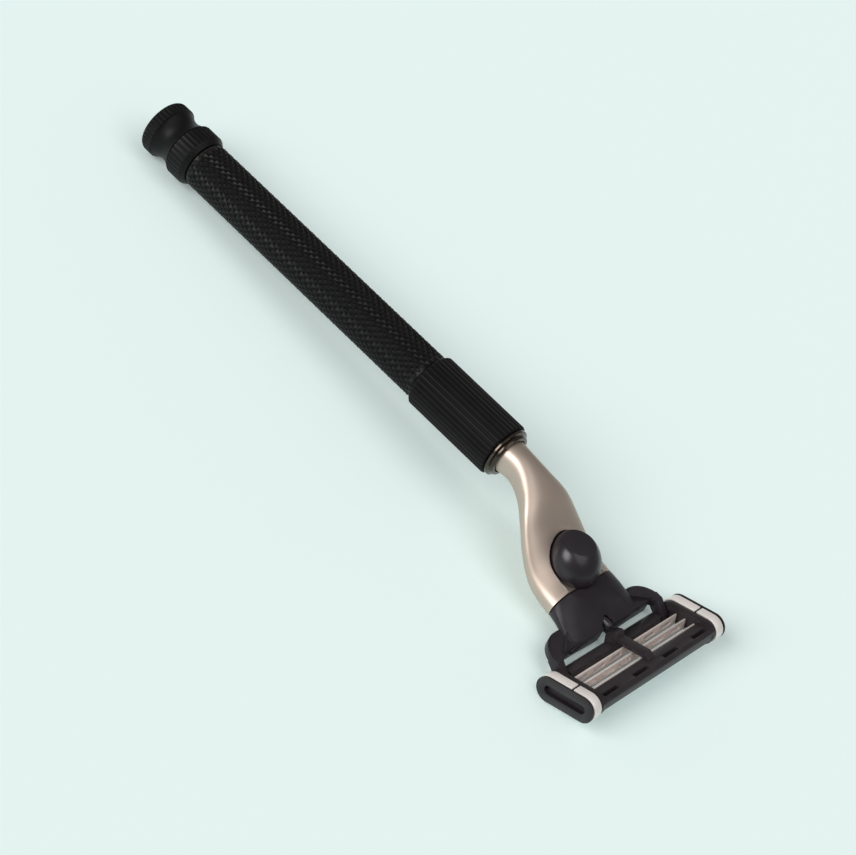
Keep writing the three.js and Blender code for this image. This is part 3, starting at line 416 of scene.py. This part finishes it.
# ---- Ribbed sleeve
# A short blackened sleeve with straight ribs, pushed over the front of the grip tube.
SLEEVE_START = 64.9
SLEEVE_FRONT = 85.3
SLEEVE_R = 5.7
SLEEVE_BORE = 4.9
RIB_TEETH = 34
RIB_LINES = 6 * RIB_TEETH  # six lines of points to each rib
RIB_DEPTH = 0.22
SHANK_BORE = 3.85
sleeve = turned("ribbed_sleeve_turned", [
    (SLEEVE_START, SLEEVE_BORE), (SLEEVE_START, SLEEVE_R - 0.5), (SLEEVE_START + 0.1, SLEEVE_R - 0.4),
    (SLEEVE_START + 0.5, SLEEVE_R), (SLEEVE_FRONT - 0.3, SLEEVE_R), (SLEEVE_FRONT, SLEEVE_R - 0.25),
    (SLEEVE_FRONT, SHANK_BORE), (SLEEVE_FRONT - 1.1, SHANK_BORE), (SLEEVE_FRONT - 1.1, SLEEVE_BORE),
    (SLEEVE_START, SLEEVE_BORE),
], RIB_LINES)


def rib_flank(p):
    """The two lines of points beside each rib's crest line stay up; the next three sink."""
    around = round(math.atan2(p.y, p.z) / (math.tau / RIB_LINES)) % 6
    ribbed = SLEEVE_START + 0.2 < p.x and math.hypot(p.y, p.z) > SLEEVE_R - 0.3
    return ribbed and around in (2, 3, 4)


pick(sleeve, rib_flank)
rib_sink = 1 - RIB_DEPTH / SLEEVE_R
bpy.ops.transform.resize(value=(1, rib_sink, rib_sink), center_override=(0, 0, 0))
sleeve_metal = finish("sleeve_black_metal", (0.0062, 0.0056, 0.0061), (0.004, 0.0036, 0.004),
                      BLACK_RUBBED, 0.55, spread=0.06, metallic=0.15, specular=0.12,
                      cloud_scale=200, bump=0.3, tilt=GRIP_TILT)
settle(sleeve, handle_frame, sleeve_metal, "handle", ["ribbed_sleeve"], smooth=25)

# ---- Front bezel
# A stepped ring, polished and dark plated, that closes the sleeve round the neck's shank.
BEZEL_START = 85.6
bezel = turned("front_bezel_turned", [
    (BEZEL_START, SHANK_BORE), (BEZEL_START, 5.2), (BEZEL_START + 0.1, 5.3),
    (BEZEL_START + 0.42, 5.3), (BEZEL_START + 0.55, 5.2), (BEZEL_START + 0.6, 4.9),
    (BEZEL_START + 0.72, 4.62), (BEZEL_START + 1.2, 4.6), (BEZEL_START + 1.35, 4.5),
    (BEZEL_START + 1.4, 4.35), (BEZEL_START + 1.4, SHANK_BORE), (BEZEL_START, SHANK_BORE),
], 96)
gunmetal = finish("dark_plating", (0.085, 0.068, 0.052), (0.04, 0.032, 0.026), (0.3, 0.26, 0.22),
                  0.2, spread=0.05, metallic=0.95, cloud_scale=300, bump=0.05, tilt=GRIP_TILT)
settle(bezel, handle_frame, gunmetal, "handle", ["front_bezel"], smooth=35)

# ---- Inside the grip
# A plain brass bush centres the steel tie rod that draws the knob, collar, tube and sleeve up
# against the neck. Neither shows from outside.
brass = finish("brass", (0.52, 0.37, 0.13), (0.42, 0.29, 0.1), (0.7, 0.55, 0.25), 0.35,
               metallic=1.0, tilt=GRIP_TILT)
plain_steel = finish("plain_steel", (0.58, 0.56, 0.54), (0.48, 0.46, 0.45), (0.75, 0.73, 0.7), 0.3,
                     metallic=1.0, stretch=(0.2, 1, 1), tilt=GRIP_TILT)
black_plastic = finish("black_plastic", (0.0175, 0.0142, 0.0185), (0.0125, 0.0102, 0.0135),
                       (0.06, 0.055, 0.06), 0.38, spread=0.05, fine_scale=3500, cloud_scale=180,
                       bump=0.2, tilt=GRIP_TILT)


def refinish(material, *names):
    """Gives CAD nodes that keep their shape a material."""
    for name in names:
        node = frame["nodes"][name]
        node.data.materials.clear()
        node.data.materials.append(material)


refinish(brass, "rear_bush")
refinish(plain_steel, "tie_rod", "button_spring", "plunger_spring")
refinish(black_plastic, "nose_block", "ejector_slide", "plunger")

# ---- Neck
# A die-cast neck with a satin nickel plating: round where it enters the bezel, then it drops and
# spreads into a flat oval that carries the button and the cartridge's yoke.
NECK_RINGS = [  # along, height of the centre, half width, half thickness
    (86.0, 0, 3.54, 3.54), (90.0, 0, 3.15, 3.3), (94.0, -1.2, 4.4, 3.3), (98.0, -3.5, 6.65, 3.45),
    (102.0, -7.2, 8.2, 3.55), (106.0, -10.4, 8.95, 3.6), (109.5, -11.8, 9.05, 3.6),
    (112.6, -12.36, 9.07, 3.6)]
SQUARENESS = 2.3
NECK_STEPS = 6
NECK_FACETS = 72
DOCK_X, DOCK_Z = NECK_RINGS[-1][:2]


def flowing(rings, steps):
    """Rings in between the given ones, on smooth curves through them."""
    ends = [rings[0], *rings, rings[-1]]
    made = []
    for before, a, b, after in zip(ends, ends[1:], ends[2:], ends[3:]):
        for i in range(steps):
            t = i / steps
            made.append([0.5 * (2 * q + (r - p) * t + (2 * p - 5 * q + 4 * r - s) * t ** 2
                                + (3 * q - p - 3 * r + s) * t ** 3)
                         for p, q, r, s in zip(before, a, b, after)])
    return made + [list(rings[-1])]


def oval_loft(name, rings, facets):
    """A closed skin through rounded-oval rings square to the grip's axis, extruded ring by ring."""
    start_clean()
    x, z, half_width, half_height = rings[0]
    bpy.ops.mesh.primitive_circle_add(vertices=facets, radius=1, fill_type="NGON",
                                      rotation=(0, math.pi / 2, 0))
    piece = named(name)
    bpy.ops.object.mode_set(mode="OBJECT")
    bpy.ops.object.transform_apply(location=True, rotation=True, scale=True)
    for vertex in piece.data.vertices:
        for axis in (1, 2):
            v = vertex.co[axis]
            vertex.co[axis] = math.copysign(abs(v) ** (2 / SQUARENESS), v)
    bpy.ops.object.mode_set(mode="EDIT")
    bpy.ops.mesh.select_all(action="SELECT")
    bpy.ops.transform.resize(value=(1, half_width, half_height), center_override=(0, 0, 0))
    bpy.ops.transform.translate(value=(x, 0, z))
    for (x0, z0, w0, h0), (x1, z1, w1, h1) in zip(rings, rings[1:]):
        bpy.ops.mesh.extrude_region_move(TRANSFORM_OT_translate={"value": (x1 - x0, 0, z1 - z0)})
        bpy.ops.transform.resize(value=(1, w1 / w0, h1 / h0), center_override=(x1, 0, z1))
    merged_outwards()
    bpy.ops.object.mode_set(mode="OBJECT")
    return piece


def brick(name, low, high):
    """A box between two corners, used to build up and to cut."""
    start_clean()
    centre = [(a + b) / 2 for a, b in zip(low, high)]
    bpy.ops.mesh.primitive_cube_add(size=1, location=centre)
    piece = named(name)
    bpy.ops.mesh.select_all(action="SELECT")
    bpy.ops.transform.resize(value=[b - a for a, b in zip(low, high)], center_override=centre)
    bpy.ops.object.mode_set(mode="OBJECT")
    bpy.ops.object.transform_apply(location=True, rotation=True, scale=True)
    return piece


def combine(piece, others, operation):
    """Cuts others from a piece, or joins them to it, and takes them away."""
    for other in others:
        start_clean()
        piece.select_set(True)
        bpy.context.view_layer.objects.active = piece
        change = piece.modifiers.new("combine", "BOOLEAN")
        change.operation = operation
        change.solver = "EXACT"
        change.object = other
        bpy.ops.object.modifier_apply(modifier=change.name)
        bpy.data.objects.remove(other)
    return piece


def softened(piece, width, segments, angle):
    """Breaks the piece's sharp edges with a small bevel."""
    start_clean()
    piece.select_set(True)
    bpy.context.view_layer.objects.active = piece
    bevel = piece.modifiers.new("broken_edges", "BEVEL")
    bevel.width = width
    bevel.segments = segments
    bevel.limit_method = "ANGLE"
    bevel.angle_limit = math.radians(angle)
    bpy.ops.object.modifier_apply(modifier=bevel.name)


BUTTON_X = 109.0
BUTTON_Z = -9.06
BALL_R = 5.2  # the button is a ball cut off below and by its thumb facet
BALL_RISE = 1.66
BUTTON_HEIGHT = 5.66
BUTTON_LEAN = 1.4
ROOM_LENGTH = 9.6  # the button's hollow runs out through the neck's front
CLEAR = 0.3


def ball_radius(height):
    return math.sqrt(BALL_R ** 2 - (height - BALL_RISE) ** 2)


def button_side(grow, steps):
    """The button's side from foot to facet, as (height, radius)."""
    heights = [BUTTON_HEIGHT * i / steps for i in range(1, steps + 1)]
    return [(0, ball_radius(0) + grow), *((h + grow, ball_radius(h) + grow) for h in heights)]


def standing_dome(name, profile, base, steps):
    """A profile of (height, radius) turned upright under the thumb, leaning back as it rises."""
    piece = turned(name, profile, steps)
    bpy.ops.object.mode_set(mode="OBJECT")
    lean = Matrix(((-BUTTON_LEAN / BUTTON_HEIGHT, 0, -1, BUTTON_X), (0, 1, 0, 0),
                   (1, 0, 0, base), (0, 0, 0, 1)))
    piece.data.transform(lean)
    bpy.ops.object.mode_set(mode="EDIT")
    merged_outwards()
    bpy.ops.object.mode_set(mode="OBJECT")
    return piece


def button_room(name):
    """The hollow that the button sits and travels in."""
    side = button_side(CLEAR, 10)
    room = standing_dome(name, [(0, 0), *side, (side[-1][0], 0)], BUTTON_Z - CLEAR, 64)
    way = standing_dome(name + "_way", [(0, 0), *side, (side[-1][0], 0)], BUTTON_Z - CLEAR, 64)
    way.data.transform(Matrix.Translation((ROOM_LENGTH, 0, 0)))
    start_clean()
    room.select_set(True)
    way.select_set(True)
    bpy.context.view_layer.objects.active = room
    bpy.ops.object.join()
    bpy.ops.object.mode_set(mode="EDIT")
    bpy.ops.mesh.select_all(action="SELECT")
    bpy.ops.mesh.convex_hull()
    merged_outwards()
    bpy.ops.object.mode_set(mode="OBJECT")
    return room


neck = oval_loft("neck_cast", flowing(NECK_RINGS, NECK_STEPS), NECK_FACETS)
shank = turned("neck_shank", [(84.2, 0), (84.2, 3.5), (84.25, 3.55), (86.5, 3.55), (86.5, 0)], 72)
spigot = turned("neck_spigot", [(75.3, 0), (75.3, 3.2), (75.4, 3.3), (84.4, 3.3), (84.4, 0)], 72)
bpy.ops.object.mode_set(mode="OBJECT")
combine(neck, [shank, spigot], "UNION")
thread_bore = turned("thread_bore", [(70, 0), (70, 1.9), (80.6, 1.9), (80.6, 0)], 32)
bpy.ops.object.mode_set(mode="OBJECT")
POCKET_FLOOR = BUTTON_Z - CLEAR
CAVITY = ((108.0, -5.8, -14.86), (114, 5.8, POCKET_FLOOR - 1.0))
combine(neck, [thread_bore, button_room("neck_pocket"), brick("neck_cavity", *CAVITY),
               brick("stem_way", (107.9, -1.9, POCKET_FLOOR - 2), (114, 1.9, POCKET_FLOOR + 1))],
        "DIFFERENCE")
softened(neck, 0.12, 2, 40)
satin_nickel = finish("satin_nickel", (0.6, 0.5, 0.43), (0.52, 0.43, 0.37), (0.85, 0.8, 0.73),
                      0.47, spread=0.05, metallic=0.92, fine_scale=5000, cloud_scale=90, bump=0.3,
                      rub=0.3, tilt=GRIP_TILT)
settle(neck, handle_frame, satin_nickel, "handle", ["neck"], smooth=35)

# ---- Release button
# A moulded dome with a dished thumb facet that leans back. Sliding it forward drives the ejector
# and frees the cartridge. A small arch is notched out of its front foot.
DISH = 0.25
NOTCH_R = 1.15
NOTCH_LENGTH = 3
NOTCH_PLACE = (4.2, 0.75)  # from the button's middle, and above its foot
NOTCH_TURN = math.radians(28)
FACET_R = ball_radius(BUTTON_HEIGHT)
foot_r = ball_radius(0)
dome_profile = [(0, 0), (0, foot_r - 0.15), (0.08, foot_r), *button_side(0, 24)[1:-1]]
dome_profile += [(BUTTON_HEIGHT - 0.06, FACET_R + 0.02), (BUTTON_HEIGHT, FACET_R - 0.08)]
dome_profile += [(BUTTON_HEIGHT - DISH * (1 - (r / FACET_R) ** 2), r)
                 for r in (3.0, 2.4, 1.8, 1.2, 0.6, 0)]
button = standing_dome("release_button_dome", dome_profile, BUTTON_Z, 96)
notch = turned("notch", [(0, 0), (0, NOTCH_R), (NOTCH_LENGTH, NOTCH_R), (NOTCH_LENGTH, 0)],
               32)
bpy.ops.object.mode_set(mode="OBJECT")
notch.data.transform(Matrix.Translation((BUTTON_X, 0, BUTTON_Z + NOTCH_PLACE[1]))
                     @ Matrix.Rotation(NOTCH_TURN, 4, "Z")
                     @ Matrix.Translation((NOTCH_PLACE[0], 0, 0)))
stem = brick("stem", (107.9 + CLEAR, -1.6, POCKET_FLOOR - 2), (110.4, 1.6, BUTTON_Z + CLEAR))
combine(button, [stem], "UNION")
combine(button, [notch], "DIFFERENCE")
button_plastic = finish("button_plastic", (0.0175, 0.0145, 0.0195), (0.0125, 0.0102, 0.0142),
                        (0.05, 0.048, 0.052), 0.3, spread=0.05, specular=0.45,
                        fine_scale=3500, cloud_scale=220, bump=0.15, tilt=GRIP_TILT)
settle(button, handle_frame, button_plastic, "button", ["release_button"], smooth=32)

# ---- Yoke
# A black moulding that docks on the neck and reaches out to the head's pivot with two arms. It
# keeps the drawing's own shape, with its sharp edges broken as a mould leaves them.
def refined(name, node, width, segments, material, body, angle=30):
    """A copy of a CAD node with its flat faces made whole and its edges broken, in its place."""
    start_clean()
    source = frame["nodes"][node]
    piece = bpy.data.objects.new(name, source.data.copy())
    bpy.context.scene.collection.objects.link(piece)
    piece.data.name = name
    piece.select_set(True)
    bpy.context.view_layer.objects.active = piece
    bpy.ops.object.mode_set(mode="EDIT")
    bpy.ops.mesh.select_mode(type="VERT")
    bpy.ops.mesh.select_all(action="SELECT")
    bpy.ops.mesh.remove_doubles(threshold=2e-6)
    bpy.ops.mesh.dissolve_limited(angle_limit=math.radians(0.5))
    bpy.ops.object.mode_set(mode="OBJECT")
    softened(piece, width * MM, segments, angle)
    settle(piece, Matrix.Identity(4), material, body, [node], smooth=35)


yoke_plastic = finish("yoke_plastic", (0.0175, 0.0135, 0.019), (0.0122, 0.0094, 0.0134),
                      (0.05, 0.045, 0.05), 0.42, spread=0.05, specular=0.3,
                      fine_scale=3500, cloud_scale=180, bump=0.25, tilt=GRIP_TILT)
refined("yoke_moulded", "yoke", 0.12, 2, yoke_plastic, "yoke")

# ---- Blade frame
# The cartridge's black moulding: guard bar, cap bar, two ends, the middle rib and its cam. It is a
# little browner than the yoke.
frame_plastic = finish("frame_plastic", (0.019, 0.0142, 0.0178), (0.0125, 0.0098, 0.012),
                       (0.07, 0.06, 0.062), 0.36, spread=0.06, specular=0.35,
                       fine_scale=4000, cloud_scale=220, bump=0.2)
refined("blade_frame_moulded", "blade_frame", 0.1, 2, frame_plastic, "head")

# ---- Clips
# Two pale metal strips wrapped round the ends of the frame hold the blades in. Each is split on
# the back of the head.
clip_metal = finish("clip_metal", (0.93, 0.88, 0.85), (0.84, 0.78, 0.75), (0.97, 0.94, 0.92), 0.4,
                    spread=0.06, metallic=0.25, cloud_scale=400, bump=0.12)
for side in ("left", "right"):
    refined("clip_%s_pressed" % side, "clip_" + side, 0.06, 2, clip_metal, "head")

# ---- Blades and their supports
# Three bent steel strips with windows each carry a thin blade welded to the platform. Each pair
# floats on its own.
support_steel = finish("support_steel", (0.88, 0.79, 0.75), (0.66, 0.57, 0.53), (0.95, 0.88, 0.85),
                       0.4, spread=0.08, metallic=0.35, cloud_scale=700, bump=0.15)
edge_steel = finish("blade_edge_steel", (0.70, 0.70, 0.71), (0.58, 0.58, 0.6), (0.9, 0.9, 0.9),
                    0.22, spread=0.05, metallic=1.0, cloud_scale=900, bump=0.08)
for number in (1, 2, 3):
    body = "blade_%d" % number
    refined(body + "_support", "blade_support_%d" % number, 0.05, 2, support_steel, body)
    refined(body + "_edge", body, 0.012, 1, edge_steel, body, angle=50)

# ---- Guard fins and lubricating strip
# A soft finned strip lies on the guard bar's shaving side and a pale green strip on the cap bar's.
# Neither shows while the razor rests.
fin_rubber = finish("fin_rubber", (0.03, 0.033, 0.04), (0.022, 0.024, 0.03), (0.05, 0.052, 0.06),
                    0.7, spread=0.05, cloud_scale=300, bump=0.3)
refined("guard_fins_moulded", "guard_fins", 0.04, 1, fin_rubber, "head")
soap_strip = finish("soap_strip", (0.36, 0.56, 0.50), (0.30, 0.48, 0.44), (0.45, 0.62, 0.56), 0.55,
                    spread=0.08, cloud_scale=500, bump=0.35)
refined("lubricating_strip_moulded", "lubricating_strip", 0.08, 2, soap_strip, "head")
